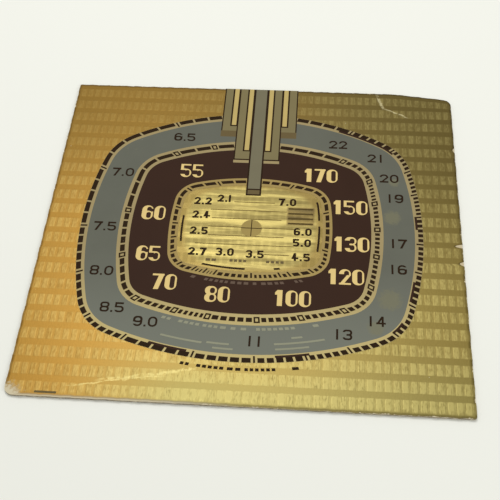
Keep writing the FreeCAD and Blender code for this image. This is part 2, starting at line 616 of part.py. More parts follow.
# Numerals are drawn with the strokes of a plain lettering stencil.
class Lettering:
    def __init__(self, width, height, heavy, light, bar, spacing, one_margin="0", one_flag="0"):
        self.width = value(width)
        self.height = value(height)
        self.heavy = value(heavy)
        self.light = value(light)
        self.bar = value(bar)
        self.spacing = value(spacing)
        self.one_margin = value(one_margin)
        self.one_flag = value(one_flag)
        self.glyphs = {}

    def block(self, left, foot, right, head):
        box = Part.makeBox(right - left, head - foot, value("ink_thickness"))
        box.translate(Vector(left, foot, 0))
        return box

    def rounded(self, left, foot, right, head, radius):
        # A block with round corners: four quarter circles joined by straight sides.
        radius = min(radius, 0.48 * min(right - left, head - foot))
        centres = [Vector(right - radius, head - radius, 0), Vector(left + radius, head - radius, 0),
                   Vector(left + radius, foot + radius, 0), Vector(right - radius, foot + radius, 0)]
        quarter = math.pi / 2
        arcs = [arc_edge(centre, radius, turn * quarter, (turn + 1) * quarter)
                for turn, centre in enumerate(centres)]
        edges = []
        for turn, arc in enumerate(arcs):
            edges += [arc.toShape(), Part.makeLine(arc.EndPoint, arcs[(turn + 1) % 4].StartPoint)]
        return Part.Face(Part.Wire(edges)).extrude(Vector(0, 0, value("ink_thickness")))

    def ring(self, foot, head):
        # A closed bowl: heavy on the left, light on the right.
        radius = self.width / 2
        outside = self.rounded(0, foot, self.width, head, radius)
        inside = self.rounded(self.heavy, foot + self.bar, self.width - self.light, head - self.bar,
                              max(radius - self.light, self.light / 2))
        return outside.cut(inside)

    def polygon(self, corners):
        points = [Vector(x, y, 0) for x, y in corners]
        face = Part.Face(Part.makePolygon(points + points[:1]))
        return face.extrude(Vector(0, 0, value("ink_thickness")))

    def slash(self, low_x, foot, high_x, head, thick):
        return self.polygon([(low_x, foot), (low_x + thick, foot), (high_x, head), (high_x - thick, head)])

    def draw(self, character):
        width, height = self.width, self.height
        heavy, light, bar = self.heavy, self.light, self.bar
        middle = height / 2
        low_bowl = middle + bar / 2
        high_bowl = middle - bar / 2
        if character == "0":
            return self.ring(0, height)
        if character == "1":
            flag = self.one_flag
            stem = self.block(flag, 0, flag + heavy, height)
            if not flag:
                return stem
            return stem.fuse(self.polygon([(0, height * 0.7), (flag, height * 0.7), (flag, height),
                                           (0, height * 0.84)]))
        if character == ".":
            return self.block(0, 0, light, light)
        if character == "7":
            stem = self.slash(width * 0.18, 0, width, height, heavy if heavy > light else light * 1.2)
            return self.block(0, height - bar * 1.2, width, height).fuse(stem)
        if character == "4":
            post = self.block(width - light - heavy, 0, width - light, height)
            shelf = self.block(0, height * 0.24, width, height * 0.24 + bar)
            brace = self.slash(0, height * 0.24, width - light, height, light * 1.1)
            return post.fuse([shelf, brace])
        if character == "8":
            return self.ring(0, low_bowl).fuse(self.ring(high_bowl, height))
        if character == "2":
            head = self.ring(high_bowl - bar, height)
            head = head.cut(self.block(-1, -1, width * 0.55, height * 0.68))
            head = head.cut(self.block(-1, -1, width + 1, height * 0.6))
            stem = self.slash(0, 0, width, height * 0.62, max(heavy * 0.8, light * 1.2))
            return self.block(0, 0, width, bar * 1.1).fuse([head, stem])
        if character == "3":
            both = self.ring(0, low_bowl).fuse(self.ring(high_bowl, height))
            window = self.block(-1, height * 0.24, width * 0.5, height * 0.76)
            tongue = self.block(width * 0.4, middle - bar / 2, width * 0.6, middle + bar / 2)
            return both.cut(window).fuse(tongue)
        if character == "5":
            bowl = self.ring(0, height * 0.64)
            bowl = bowl.cut(self.block(-1, height * 0.22, width * 0.45, height * 0.64 - bar))
            post = self.block(0, height * 0.64 - bar, max(light, heavy * 0.6), height)
            shelf = self.block(0, height - bar * 1.1, width * 0.92, height)
            join = self.block(0, height * 0.64 - bar, width * 0.55, height * 0.64)
            return bowl.fuse([post, shelf, join])
        if character == "6":
            tall = self.ring(0, height)
            tall = tall.cut(self.block(width * 0.5, height * 0.56, width + 1, height * 0.78))
            return tall.fuse(self.ring(0, height * 0.62))
        if character == "9":
            half_turned = self.draw("6")
            half_turned.rotate(Vector(width / 2, middle, 0), Vector(0, 0, 1), 180)
            return half_turned
        raise ValueError(f"no strokes for {character}")

    def glyph(self, character):
        if character not in self.glyphs:
            self.glyphs[character] = self.draw(character).removeSplitter()
        return self.glyphs[character]

    def room_between(self, left, right):
        # The space between two characters, wider beside a one.
        return self.spacing + self.one_margin * (left + right).count("1")

    def numeral(self, text, centre):
        # The digits side by side, centred on a point.
        shapes = [self.glyph(character) for character in text]
        rooms = [self.room_between(*pair) for pair in zip(text[:-1], text[1:])] + [0]
        left = centre.x - (sum(shape.BoundBox.XLength for shape in shapes) + sum(rooms)) / 2
        placed = []
        for shape, room in zip(shapes, rooms):
            copy = shape.copy()
            copy.translate(Vector(left - shape.BoundBox.XMin, centre.y - self.height / 2, 0))
            placed += copy.Solids
            left += shape.BoundBox.XLength + room
        return placed


def numeral_place(track, row_inset, angle, further):
    # The middle of a numeral: on its pointer ray, its row's inset and its own further inside the track.
    meeting = ray_meeting(scale_arcs(track.sizes), angle)[2]
    return meeting * (1 - (value(row_inset) + further) / meeting.Length)


def numerals(lettering, track, row_inset, places):
    solids = []
    for text, angle, further in places:
        solids += lettering.numeral(text, numeral_place(track, row_inset, angle, further))
    return Part.makeCompound(solids)


def flat_bar(left, foot, length, width):
    box = Part.makeBox(length, width, value("ink_thickness"))
    box.translate(Vector(left, foot, 0))
    return box


def centre_title():
    middle = value("centre_dash_rise - inner_foot_height")
    bars = []
    for first, last in CENTRE_TITLE:
        for left, right in dash_row(first, last, value("dash_pitch"), value("dash_gap")):
            bars.append(flat_bar(left, middle - value("dash_width") / 2, right - left, value("dash_width")))
    return Part.makeCompound(bars)


def centre_notes():
    # Short level rules in place of small type, spread between the numerals above and below.
    left = value("inner_half_width - centre_note_side_inset - centre_note_length")
    low, high = sorted(numeral_place(inner_track, "centre_numeral_inset", angle, further).y
                       for text, angle, further in CENTRE_NUMERALS if text in CENTRE_NOTE_NEIGHBOURS)
    lowest = low + value("centre_digit_height / 2 + centre_note_foot_gap")
    top = high - value("centre_digit_height / 2 + centre_note_head_gap + note_row_width")
    pitch = (top - lowest) / (CENTRE_NOTE_ROWS - 1)
    rows = [flat_bar(left, top - row * pitch, value("centre_note_length"),
                     value("note_row_width")) for row in range(CENTRE_NOTE_ROWS)]
    return Part.makeCompound(rows)


def corner_note():
    left = value(f"corner_note_side_inset - {CARD_W}")
    foot = value(f"corner_note_end_inset - {CARD_DOWN}")
    return flat_bar(left, foot, value("corner_note_length"), value("note_row_width"))


def blue_notes():
    # Curved rules in place of small type on the blue band.
    solids = []
    for start, stop, row in BLUE_NOTES:
        low = f"(blue_note_offset + {row} * note_row_pitch)"
        solids += band_pieces(middle_track, low, f"({low} + note_row_width)", [(start, stop)]).Solids
    return Part.makeCompound(solids)


def field_lines():
    # Fine level lines across the centre, broken at the guide disc and wherever a numeral stands on one.
    width = value("field_line_width")
    disc = Part.makeCylinder(value("guide_disc_radius"), value("ink_thickness"))
    lines = []
    for row, left, right in FIELD_LINES:
        foot = value(f"field_line_lift + {row} * field_line_pitch - field_line_width / 2")
        lines.append(flat_bar(value(left), foot, value(f"{right} - ({left})"), width))
    digits = doc.getObject("centre_numerals").Shape.copy()
    digits.translate(Vector(0, 0, -value(INK_Z)))
    return Part.makeCompound(lines).cut([disc] + digits.Solids)


def build_card():
    return [card_layer("backing_board", "0", "board_thickness"),
            card_layer("paste_film", PASTE_Z, "paste_thickness"),
            card_layer("foil_face", FOIL_Z, "foil_thickness")]


def build_rings():
    return [ink_ring("inner_scale_bed", inner_track.at(INNER_OUT), inner_track.at(f"(0 - {INNER_IN})")),
            ink_ring("maroon_band", middle_track.at(f"(0 - {MIDDLE_REACH})"), inner_track.at(INNER_OUT)),
            ink_ring("middle_scale_bed", middle_track.at(MIDDLE_REACH),
                     middle_track.at(f"(0 - {MIDDLE_REACH})")),
            ink_ring("blue_band", outer_track.at(f"(0 - {OUTER_IN})"), middle_track.at(MIDDLE_REACH)),
            ink_ring("outer_scale_bed", outer_track.at(OUTER_OUT), outer_track.at(f"(0 - {OUTER_IN})"))]


def build_scales():
    parts = []
    for name, track, marks, runs, space in (
            ("inner", inner_track, INNER_MARKS, INNER_RUNS, "mark_clearance"),
            ("middle", middle_track, MIDDLE_MARKS, MIDDLE_RUNS, "frame_mark_clearance"),
            ("outer", outer_track, OUTER_MARKS, OUTER_RUNS, "mark_clearance")):
        half = f"{name}_block_width / 2"
        blocks = band_pieces(track, f"(0 - {half})", half, scale_spans(track, marks, runs, space))
        parts.append(shape_feature(f"{name}_scale_blocks", blocks, OVERPRINT_Z))
        if name == "middle":
            reach = f"({half} + mark_reach / 2)"
            ticks = frame_marks(track, f"(0 - {reach})", reach, marks)
        else:
            spans = mark_spans(track, marks, value("mark_width"))
            ticks = band_pieces(track, f"(0 - {half} - mark_reach)", half, spans)
        parts.append(shape_feature(f"{name}_scale_marks", ticks, OVERPRINT_Z))
    high = "(0 - outer_block_width / 2)"
    bars = band_pieces(outer_track, f"({high} - range_bar_width)", high, RANGE_BARS)
    for tick in ticks.Solids:
        bars = bars.cut(tick)
    parts.append(shape_feature("outer_range_bars", bars, OVERPRINT_Z))
    return parts


def build_numerals():
    outer = Lettering("outer_digit_width", "outer_digit_height", "outer_digit_stroke",
                      "outer_digit_stroke", "outer_digit_bar", "outer_digit_spacing", "outer_one_margin")
    middle = Lettering("middle_digit_width", "middle_digit_height", "middle_digit_heavy",
                       "middle_digit_light", "middle_digit_bar", "middle_digit_spacing",
                       "middle_one_margin", "middle_one_flag")
    centre = Lettering("centre_digit_width", "centre_digit_height", "centre_digit_stroke",
                       "centre_digit_stroke", "centre_digit_bar", "centre_digit_spacing")
    rows = (("outer", outer, outer_track, OUTER_NUMERALS, OVERPRINT_Z),
            ("middle", middle, middle_track, MIDDLE_NUMERALS, OVERPRINT_Z),
            ("centre", centre, inner_track, CENTRE_NUMERALS, INK_Z))
    return [shape_feature(f"{name}_numerals", numerals(lettering, track, f"{name}_numeral_inset", places),
                          height) for name, lettering, track, places, height in rows]


def build_centre():
    disc = doc.addObject("Part::Cylinder", "guide_disc")
    disc.Label = "shaft_guide_disc"
    disc.setExpression("Radius", bound("guide_disc_radius"))
    disc.setExpression("Height", bound("ink_thickness"))
    disc.setExpression("Placement.Base.z", bound(INK_Z))
    radius = value("guide_disc_radius")
    width = value("guide_cross_width")
    level = flat_bar(-radius, -width / 2, 2 * radius, width)
    upright = flat_bar(-width / 2, -radius, width, 2 * radius)
    cross = level.fuse(upright).common(Part.makeCylinder(radius, value("ink_thickness")))
    rules = band_pieces(inner_track, "(0 - rule_inset - rule_width / 2)",
                        "(0 - rule_inset + rule_width / 2)", CENTRE_RULES)
    return [disc,
            shape_feature("shaft_guide_cross", cross.removeSplitter(), OVERPRINT_Z),
            shape_feature("centre_field_lines", field_lines(), INK_Z),
            shape_feature("centre_range_rules", rules, INK_Z)]


def build_dashes():
    parts = []
    for name, track, offset, groups, height in (
            ("outer_title_dashes", outer_track, "outer_dash_offset", OUTER_TITLE, INK_Z),
            ("blue_title_dashes", middle_track, "middle_dash_offset", BLUE_TITLE, OVERPRINT_Z),
            ("maroon_title_dashes", inner_track, "inner_dash_offset", MAROON_TITLE, OVERPRINT_Z)):
        dashes = band_pieces(track, f"({offset} - dash_width / 2)", f"({offset} + dash_width / 2)",
                             dash_spans(track, groups))
        parts.append(shape_feature(name, dashes, height))
    parts.append(shape_feature("centre_title_dashes", centre_title(), INK_Z))
    parts.append(shape_feature("blue_note_rules", blue_notes(), OVERPRINT_Z))
    parts.append(shape_feature("centre_note_rules", centre_notes(), INK_Z))
    parts.append(shape_feature("corner_note_rule", corner_note(), INK_Z))
    return parts


nodes = build_card() + build_rings() + build_tower() + build_scales()
nodes += build_numerals() + build_centre() + build_dashes()
doc.recompute()

for feature in doc.Objects:
    if "Invalid" in feature.State or "Error" in feature.State:
        raise RuntimeError(f"{feature.Label} failed: {feature.State}")
for node in nodes:
    if node.Shape.isNull() or not node.Shape.isValid() or not node.Shape.Solids:
        raise RuntimeError(f"{node.Label} has no valid solid")
for node in nodes:
    node.Shape.exportStep(f"parts/{node.Label}.step")
    print(node.Label, len(node.Shape.Solids), round(node.Shape.Volume, 2))
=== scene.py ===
# Looks of a gold-foil tuning card: worn board, stamped foil and flat inks. Metres, in the card's own frame.
import json
import math
import bpy
import numpy as np
from mathutils import Matrix, Vector


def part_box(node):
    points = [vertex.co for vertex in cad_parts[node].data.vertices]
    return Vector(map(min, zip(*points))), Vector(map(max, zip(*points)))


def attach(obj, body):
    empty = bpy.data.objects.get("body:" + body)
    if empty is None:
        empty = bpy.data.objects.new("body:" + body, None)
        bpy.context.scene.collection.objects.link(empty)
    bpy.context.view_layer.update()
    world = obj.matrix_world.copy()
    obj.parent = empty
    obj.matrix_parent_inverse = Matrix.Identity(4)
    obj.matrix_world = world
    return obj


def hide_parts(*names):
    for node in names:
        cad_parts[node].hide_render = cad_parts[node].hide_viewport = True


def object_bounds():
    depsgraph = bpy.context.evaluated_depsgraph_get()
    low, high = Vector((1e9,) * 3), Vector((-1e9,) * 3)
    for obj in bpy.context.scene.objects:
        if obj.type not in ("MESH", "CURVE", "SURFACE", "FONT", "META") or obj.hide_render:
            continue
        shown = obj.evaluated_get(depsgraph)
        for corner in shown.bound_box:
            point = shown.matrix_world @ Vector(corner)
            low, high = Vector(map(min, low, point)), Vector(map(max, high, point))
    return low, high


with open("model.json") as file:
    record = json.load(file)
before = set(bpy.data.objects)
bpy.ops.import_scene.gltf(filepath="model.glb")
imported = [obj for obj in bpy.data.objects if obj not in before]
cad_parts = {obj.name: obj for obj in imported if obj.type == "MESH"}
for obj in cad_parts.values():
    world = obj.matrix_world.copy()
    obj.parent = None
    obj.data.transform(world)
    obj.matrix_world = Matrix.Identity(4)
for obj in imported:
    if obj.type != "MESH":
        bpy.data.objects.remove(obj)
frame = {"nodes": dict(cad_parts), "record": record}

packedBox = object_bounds()
print("frame loaded:", len(frame["nodes"]), "nodes")


def addNode(tree, kind, **settings):
    # one shader node with its sockets and properties set by name
    node = tree.nodes.new(kind)
    for name, setting in settings.items():
        if name in node.inputs:
            node.inputs[name].default_value = setting
        else:
            setattr(node, name, setting)
    return node


def newGroup(name, inputs, outputs):
    # an empty node group with named sockets and its two ends
    group = bpy.data.node_groups.new(name, "ShaderNodeTree")
    for label, kind, start in inputs:
        socket = group.interface.new_socket(label, in_out="INPUT", socket_type=kind)
        socket.default_value = start
    for label, kind in outputs:
        group.interface.new_socket(label, in_out="OUTPUT", socket_type=kind)
    return group, addNode(group, "NodeGroupInput"), addNode(group, "NodeGroupOutput")


def feed(tree, value, socket):
    # links a socket to the input, or sets it to a number or to a colour with full alpha
    if isinstance(value, bpy.types.NodeSocket):
        tree.links.new(value, socket)
    elif isinstance(value, tuple):
        socket.default_value = (*value, 1.0)
    else:
        socket.default_value = value


def mathNode(tree, operation, first, second=0.0, third=0.0, clamp=False):
    # operation(first, second, third), each a number or a socket
    node = addNode(tree, "ShaderNodeMath", operation=operation, use_clamp=clamp)
    for index, value in enumerate((first, second, third)):
        feed(tree, value, node.inputs[index])
    return node.outputs[0]


def vectorNode(tree, operation, first, second):
    # operation(first, second) of two vector sockets
    node = addNode(tree, "ShaderNodeVectorMath", operation=operation)
    feed(tree, first, node.inputs[0])
    feed(tree, second, node.inputs[1])
    return node.outputs


def splitParts(tree, kind, source):
    # the channels of a colour or the axes of a vector
    node = addNode(tree, kind)
    feed(tree, source, node.inputs[0])
    return node.outputs


def mixColour(tree, factor, first, second, blend="MIX"):
    # first where factor is 0 and second where it is 1
    node = addNode(tree, "ShaderNodeMix", data_type="RGBA", blend_type=blend)
    for index, value in ((0, factor), (6, first), (7, second)):  # the sockets of its colour form
        feed(tree, value, node.inputs[index])
    return node.outputs[2]


def smoothStep(tree, value, low, high):
    # 0 up to low, 1 from high on and a smooth change between; low may be the larger of the two
    node = addNode(tree, "ShaderNodeMapRange", interpolation_type="SMOOTHSTEP")
    for index, bound in enumerate((value, low, high)):
        feed(tree, bound, node.inputs[index])
    return node.outputs[0]


def objectPlace(tree, stretch=(1.0, 1.0, 1.0)):
    # the point's own coordinates, in metres, stretched along each axis
    source = addNode(tree, "ShaderNodeTexCoord")
    mapping = addNode(tree, "ShaderNodeMapping")
    mapping.inputs["Scale"].default_value = stretch
    tree.links.new(source.outputs["Object"], mapping.inputs["Vector"])
    return mapping.outputs[0]


def noiseAt(tree, place, scale, detail=3.0, rough=0.6):
    # fractal noise from 0 to 1 about one half, its scale a number or a socket
    node = addNode(tree, "ShaderNodeTexNoise", Detail=detail, Roughness=rough)
    feed(tree, scale, node.inputs["Scale"])
    feed(tree, place, node.inputs["Vector"])
    return node.outputs[0]


def swing(tree, noise, span):
    # noise about one half made to run from minus to plus half the span
    return mathNode(tree, "MULTIPLY_ADD", noise, span, -span / 2)


grainSet = {"fineness": 2500.0, "mottle": 60.0}


def makeGrainGroup():
    # Grain: fine fibres (Height) and slow mottling (Tone), both about one half
    group, inside, outside = newGroup("grain", [("Fineness", "NodeSocketFloat", grainSet["fineness"])],
                                      [("Tone", "NodeSocketFloat"), ("Height", "NodeSocketFloat")])
    place = objectPlace(group)
    fine = noiseAt(group, place, inside.outputs["Fineness"], detail=4.0)
    slow = noiseAt(group, place, grainSet["mottle"], rough=0.5)
    group.links.new(slow, outside.inputs["Tone"])
    group.links.new(fine, outside.inputs["Height"])
    return group


rubSet = {"patches": 38.0, "patchShare": 0.6, "grit": 900.0, "gritShare": 0.4,
          "level": 0.74, "fall": 0.25, "soft": 0.12}


def makeRubGroup():
    # Rub: patches (Rubbed) where slow noise passes a level, broken up by fine noise
    group, inside, outside = newGroup("rub", [("Amount", "NodeSocketFloat", 0.2)],
                                      [("Rubbed", "NodeSocketFloat")])
    place = objectPlace(group)
    slow = noiseAt(group, place, rubSet["patches"], detail=2.0, rough=0.5)
    fine = noiseAt(group, place, rubSet["grit"], detail=4.0, rough=0.7)
    gritty = mathNode(group, "MULTIPLY", fine, rubSet["gritShare"])
    mixed = mathNode(group, "MULTIPLY_ADD", slow, rubSet["patchShare"], gritty)
    fall = mathNode(group, "MULTIPLY", inside.outputs["Amount"], rubSet["fall"])
    level = mathNode(group, "SUBTRACT", rubSet["level"], fall)
    rubbed = smoothStep(group, mixed, level, mathNode(group, "ADD", level, rubSet["soft"]))
    group.links.new(rubbed, outside.inputs["Rubbed"])
    return group


spotSet = {"noise": 700.0, "ragged": 1.3, "rim": 1.0, "core": 0.45}


def makeSpotGroup():
    # Spot: 1 within Reach of Centre, its rim broken up by noise
    group, inside, outside = newGroup("spot", [("Centre", "NodeSocketVector", (0, 0, 0)),
                                               ("Reach", "NodeSocketFloat", 0.003)],
                                      [("Mask", "NodeSocketFloat")])
    place = objectPlace(group)
    away = vectorNode(group, "DISTANCE", place, inside.outputs["Centre"])["Value"]
    share = mathNode(group, "DIVIDE", away, inside.outputs["Reach"])
    ragged = swing(group, noiseAt(group, place, spotSet["noise"], detail=5.0, rough=0.7), spotSet["ragged"])
    mask = smoothStep(group, mathNode(group, "ADD", share, ragged), spotSet["rim"], spotSet["core"])
    group.links.new(mask, outside.inputs["Mask"])
    return group


scratchSet = {"noise": 160.0, "wander": 0.003, "core": 0.2, "taper": 0.15,
              "gaps": 500.0, "gapTo": 0.36, "lineFrom": 0.52}


def makeScratchGroup():
    # Scratch: 1 within Width of the line through Start along Heading, whose length is one over the scratch's
    group, inside, outside = newGroup("scratch", [("Start", "NodeSocketVector", (0, 0, 0)),
                                                  ("Heading", "NodeSocketVector", (1, 0, 0)),
                                                  ("Square", "NodeSocketVector", (0, 1, 0)),
                                                  ("Width", "NodeSocketFloat", 0.0005)],
                                      [("Mask", "NodeSocketFloat")])
    place = objectPlace(group)
    offset = vectorNode(group, "SUBTRACT", place, inside.outputs["Start"])[0]
    along, aside = [vectorNode(group, "DOT_PRODUCT", offset, inside.outputs[name])["Value"]
                    for name in ("Heading", "Square")]
    wander = swing(group, noiseAt(group, place, scratchSet["noise"]), scratchSet["wander"])
    away = mathNode(group, "ABSOLUTE", mathNode(group, "ADD", aside, wander))
    share = mathNode(group, "DIVIDE", away, inside.outputs["Width"])
    line = smoothStep(group, share, 1.0, scratchSet["core"])
    ends = mathNode(group, "MULTIPLY", smoothStep(group, along, 0.0, scratchSet["taper"]),
                    smoothStep(group, along, 1.0, 1 - scratchSet["taper"]))
    broken = smoothStep(group, noiseAt(group, place, scratchSet["gaps"]),
                        scratchSet["gapTo"], scratchSet["lineFrom"])
    group.links.new(mathNode(group, "MULTIPLY", mathNode(group, "MULTIPLY", line, ends), broken),
                    outside.inputs["Mask"])
    return group


speckSet = {"lattice": 260.0, "smallest": 0.02, "spread": 0.09, "core": 0.6}


def makeSpeckGroup():
    # Speck: small round specks of dust and chipped ink, one in a few cells of a scattered lattice
    group, inside, outside = newGroup("speck", [("Amount", "NodeSocketFloat", 0.2)],
                                      [("Mask", "NodeSocketFloat")])
    cells = addNode(group, "ShaderNodeTexVoronoi", Scale=speckSet["lattice"])
    group.links.new(objectPlace(group), cells.inputs["Vector"])
    dice = splitParts(group, "ShaderNodeSeparateColor", cells.outputs["Color"])
    chosen = mathNode(group, "LESS_THAN", dice[0], inside.outputs["Amount"])
    size = mathNode(group, "MULTIPLY_ADD", dice[1], speckSet["spread"], speckSet["smallest"])
    core = mathNode(group, "MULTIPLY", size, speckSet["core"])
    small = smoothStep(group, cells.outputs["Distance"], size, core)
    group.links.new(mathNode(group, "MULTIPLY", small, chosen), outside.inputs["Mask"])
    return group


grainGroup = makeGrainGroup()
rubGroup = makeRubGroup()
spotGroup = makeSpotGroup()
scratchGroup = makeScratchGroup()
speckGroup = makeSpeckGroup()
print("node groups made")


def useGroup(tree, group, **settings):
    # one copy of a shared group with its inputs set by name
    node = addNode(tree, "ShaderNodeGroup", node_tree=group)
    for name, setting in settings.items():
        node.inputs[name].default_value = setting
    return node


def newMaterial(name, **sockets):
    # a material with one Principled shader whose plain values are set on its own sockets
    material = bpy.data.materials.new(name)
    material.use_nodes = True
    shader = material.node_tree.nodes["Principled BSDF"]
    for label, value in sockets.items():
        shader.inputs[label.replace("_", " ")].default_value = value
    return material, material.node_tree, shader


def addBump(tree, shader, height, strength, distance):
    # the shader's normal tilted by the slope of a height map, its distance in metres
    bump = addNode(tree, "ShaderNodeBump", Strength=strength, Distance=distance)
    tree.links.new(height, bump.inputs["Height"])
    tree.links.new(bump.outputs[0], shader.inputs["Normal"])


def spotMasks(tree, spots):
    # the strongest of several spots, each a place and a reach on the printed face
    mask = 0.0
    for x, y, reach in spots:
        spot = useGroup(tree, spotGroup, Centre=(x, y, packedBox[1][2]), Reach=reach)
        mask = mathNode(tree, "MAXIMUM", spot.outputs["Mask"], mask)
    return mask


def scratchMasks(tree, scratches):
    # the strongest of several scratches, each two ends and a width on the printed face
    mask = 0.0
    for (startX, startY), (endX, endY), width in scratches:
        length = math.hypot(endX - startX, endY - startY)
        alongX, alongY = (endX - startX) / length, (endY - startY) / length
        scratch = useGroup(tree, scratchGroup, Start=(startX, startY, 0.0), Width=width,
                           Heading=(alongX / length, alongY / length, 0.0), Square=(-alongY, alongX, 0.0))
        mask = mathNode(tree, "MAXIMUM", scratch.outputs["Mask"], mask)
    return mask


# front is an ink's paler colour at the foot, a painted highlight, and each of its spots a dulled place and
# reach
inkSet = {
    "tan_ink": {"colour": (0.34, 0.265, 0.125), "rough": 0.55, "rub": 0.25, "front": (0.52, 0.42, 0.18)},
    "brass_ink": {"colour": (0.35, 0.25, 0.085), "rough": 0.5, "rub": 0.3, "front": (0.48, 0.375, 0.135)},
    "blue_ink": {"colour": (0.126, 0.129, 0.101), "rough": 0.6, "rub": 0.35, "front": (0.172, 0.180, 0.145),
                 "spots": ((0.0640, 0.0091, 0.0050), (0.0621, -0.0354, 0.0065), (0.0560, -0.0500, 0.0045),
                           (0.0655, 0.0300, 0.0030))},
    "maroon_ink": {"colour": (0.036, 0.015, 0.0075), "rough": 0.5, "rub": 0.1},
    "dark_ink": {"colour": (0.022, 0.010, 0.002), "rough": 0.55, "rub": 0.15},
    "cream_ink": {"colour": (0.72, 0.54, 0.215), "rough": 0.6, "rub": 0.15},
    "faded_ink": {"colour": (0.28, 0.28, 0.195), "rough": 0.6, "rub": 0.6},
    "worn_ink": {"colour": (0.13, 0.088, 0.062), "rough": 0.6, "rub": 0.5},
    "gold_ink": {"colour": (0.50, 0.38, 0.135), "rough": 0.5, "rub": 0.3},
    "grey_ink": {"colour": (0.172, 0.155, 0.095), "rough": 0.55, "rub": 0.3},
    "olive_ink": {"colour": (0.198, 0.164, 0.076), "rough": 0.5, "rub": 0.3},
    "brown_ink": {"colour": (0.135, 0.098, 0.040), "rough": 0.5, "rub": 0.25},
    "line_ink": {"colour": (0.17, 0.118, 0.028), "rough": 0.45, "rub": 0.3},
    "note_ink": {"colour": (0.085, 0.056, 0.014), "rough": 0.5, "rub": 0.3},
    "shade_ink": {"colour": (0.34, 0.25, 0.075), "rough": 0.45, "rub": 0.3}}
# nodes whose ink has faded, or shows the foil, more than their slot's
ownInk = {"tower_middle_slots": "gold_ink", "tower_outer_slots": "gold_ink", "inner_scale_bed": "brass_ink",
          "maroon_title_dashes": "worn_ink", "corner_note_rule": "brown_ink", "centre_note_rules": "note_ink",
          "centre_field_lines": "line_ink"}
inkLook = {"fineness": 2200.0, "mottle": 0.10, "frontFrom": -0.010, "frontTo": -0.065, "spotShare": 0.6,
           "foil": (0.30, 0.27, 0.12), "foilShare": 0.38, "specks": 0.05, "dust": (0.42, 0.38, 0.27),
           "dustShare": 0.5, "bump": 0.25, "bumpDepth": 0.00005}


def mixTones(first, second, share):
    # two colours mixed by the second one's share
    return tuple((1 - share) * one + share * other for one, other in zip(first, second))


def makeInk(name, colour, rough, rub, front=None, spots=()):
    # flat ink: its colour mottled, a little gold where it is rubbed thin, and paper grain under it
    material, tree, shader = newMaterial(name, Specular_IOR_Level=0.06, Roughness=rough)
    grain = useGroup(tree, grainGroup, Fineness=inkLook["fineness"])
    worn = useGroup(tree, rubGroup, Amount=rub).outputs["Rubbed"]
    mottled = mixColour(tree, grain.outputs["Tone"], tuple(part * (1 - inkLook["mottle"]) for part in colour),
                        tuple(part * (1 + inkLook["mottle"]) for part in colour))
    if front:  # the stretch nearest the viewer is paler, a painted highlight
        along = splitParts(tree, "ShaderNodeSeparateXYZ", objectPlace(tree))["Y"]
        near = smoothStep(tree, along, inkLook["frontFrom"], inkLook["frontTo"])
        mottled = mixColour(tree, near, mottled, front)
    if spots:
        dulled = mathNode(tree, "MULTIPLY", spotMasks(tree, spots), inkLook["spotShare"])
        worn = mathNode(tree, "MAXIMUM", worn, dulled)
    rubbed = mixColour(tree, worn, mottled, mixTones(colour, inkLook["foil"], inkLook["foilShare"]))
    specks = useGroup(tree, speckGroup, Amount=inkLook["specks"]).outputs["Mask"]
    shown = mixColour(tree, specks, rubbed, mixTones(colour, inkLook["dust"], inkLook["dustShare"]))
    tree.links.new(shown, shader.inputs["Base Color"])
    addBump(tree, shader, grain.outputs["Height"], inkLook["bump"], inkLook["bumpDepth"])
    return material


def paintNodes():
    # every printed node takes the ink of its slot, or its own where that one has faded or shows the foil
    inks = {name: makeInk(name.replace("_ink", "Ink"), **values) for name, values in inkSet.items()}
    slots = {row["node"]: row["material_slot"] for row in frame["record"]["subparts"]}
    for name, node in frame["nodes"].items():
        if slots[name] in inks:
            node.data.materials.clear()
            node.data.materials.append(inks[ownInk.get(name, slots[name])])
    print("inks:", len(inks))


paperLook = {"young": (0.80, 0.75, 0.61), "aged": (0.50, 0.44, 0.31), "fineness": 1400.0,
             "fleck": (0.40, 0.33, 0.22), "fleckFrom": 0.62, "fleckTo": 0.72,
             "layerStretch": 9.0, "layers": 700.0, "darkTo": 0.35, "paleFrom": 0.65,
             "rimGrimeAndShade": (0.14, 0.11, 0.07), "rimPale": (0.36, 0.30, 0.21), "rimFrom": 0.85, "rimTo": 0.35,
             "bump": 0.6, "bumpDepth": 0.0001}


def makePaper():
    # pale card: slow yellowing and brown flecks, and a rim of fibres pressed in layers, its side faces
    # painted dark as grime and as painted shadow of the gap under the card's edge
    material, tree, shader = newMaterial("wornCard", Roughness=0.85, Specular_IOR_Level=0.2)
    grain = useGroup(tree, grainGroup, Fineness=paperLook["fineness"])
    aged = mixColour(tree, grain.outputs["Tone"], paperLook["aged"], paperLook["young"])
    pressed = objectPlace(tree, (1.0, 1.0, paperLook["layerStretch"]))
    layers = noiseAt(tree, pressed, paperLook["layers"])
    fleck = smoothStep(tree, grain.outputs["Height"], paperLook["fleckFrom"], paperLook["fleckTo"])
    flecked = mixColour(tree, fleck, aged, paperLook["fleck"])
    # side faces painted dark: grime on the cut edge and painted shadow under the front edge
    normal = addNode(tree, "ShaderNodeNewGeometry").outputs["Normal"]
    level = mathNode(tree, "ABSOLUTE", splitParts(tree, "ShaderNodeSeparateXYZ", normal)["Z"])
    rimmed = smoothStep(tree, level, paperLook["rimFrom"], paperLook["rimTo"])
    grimeAndShade = mixColour(tree, smoothStep(tree, layers, paperLook["darkTo"], paperLook["paleFrom"]),
                       paperLook["rimGrimeAndShade"], paperLook["rimPale"])
    tree.links.new(mixColour(tree, rimmed, flecked, grimeAndShade), shader.inputs["Base Color"])
    addBump(tree, shader, layers, paperLook["bump"], paperLook["bumpDepth"])
    return material


pasteLook = {"dark": (0.40, 0.32, 0.18), "pale": (0.66, 0.56, 0.36), "fineness": 1800.0,
             "bump": 0.4, "bumpDepth": 0.00008}


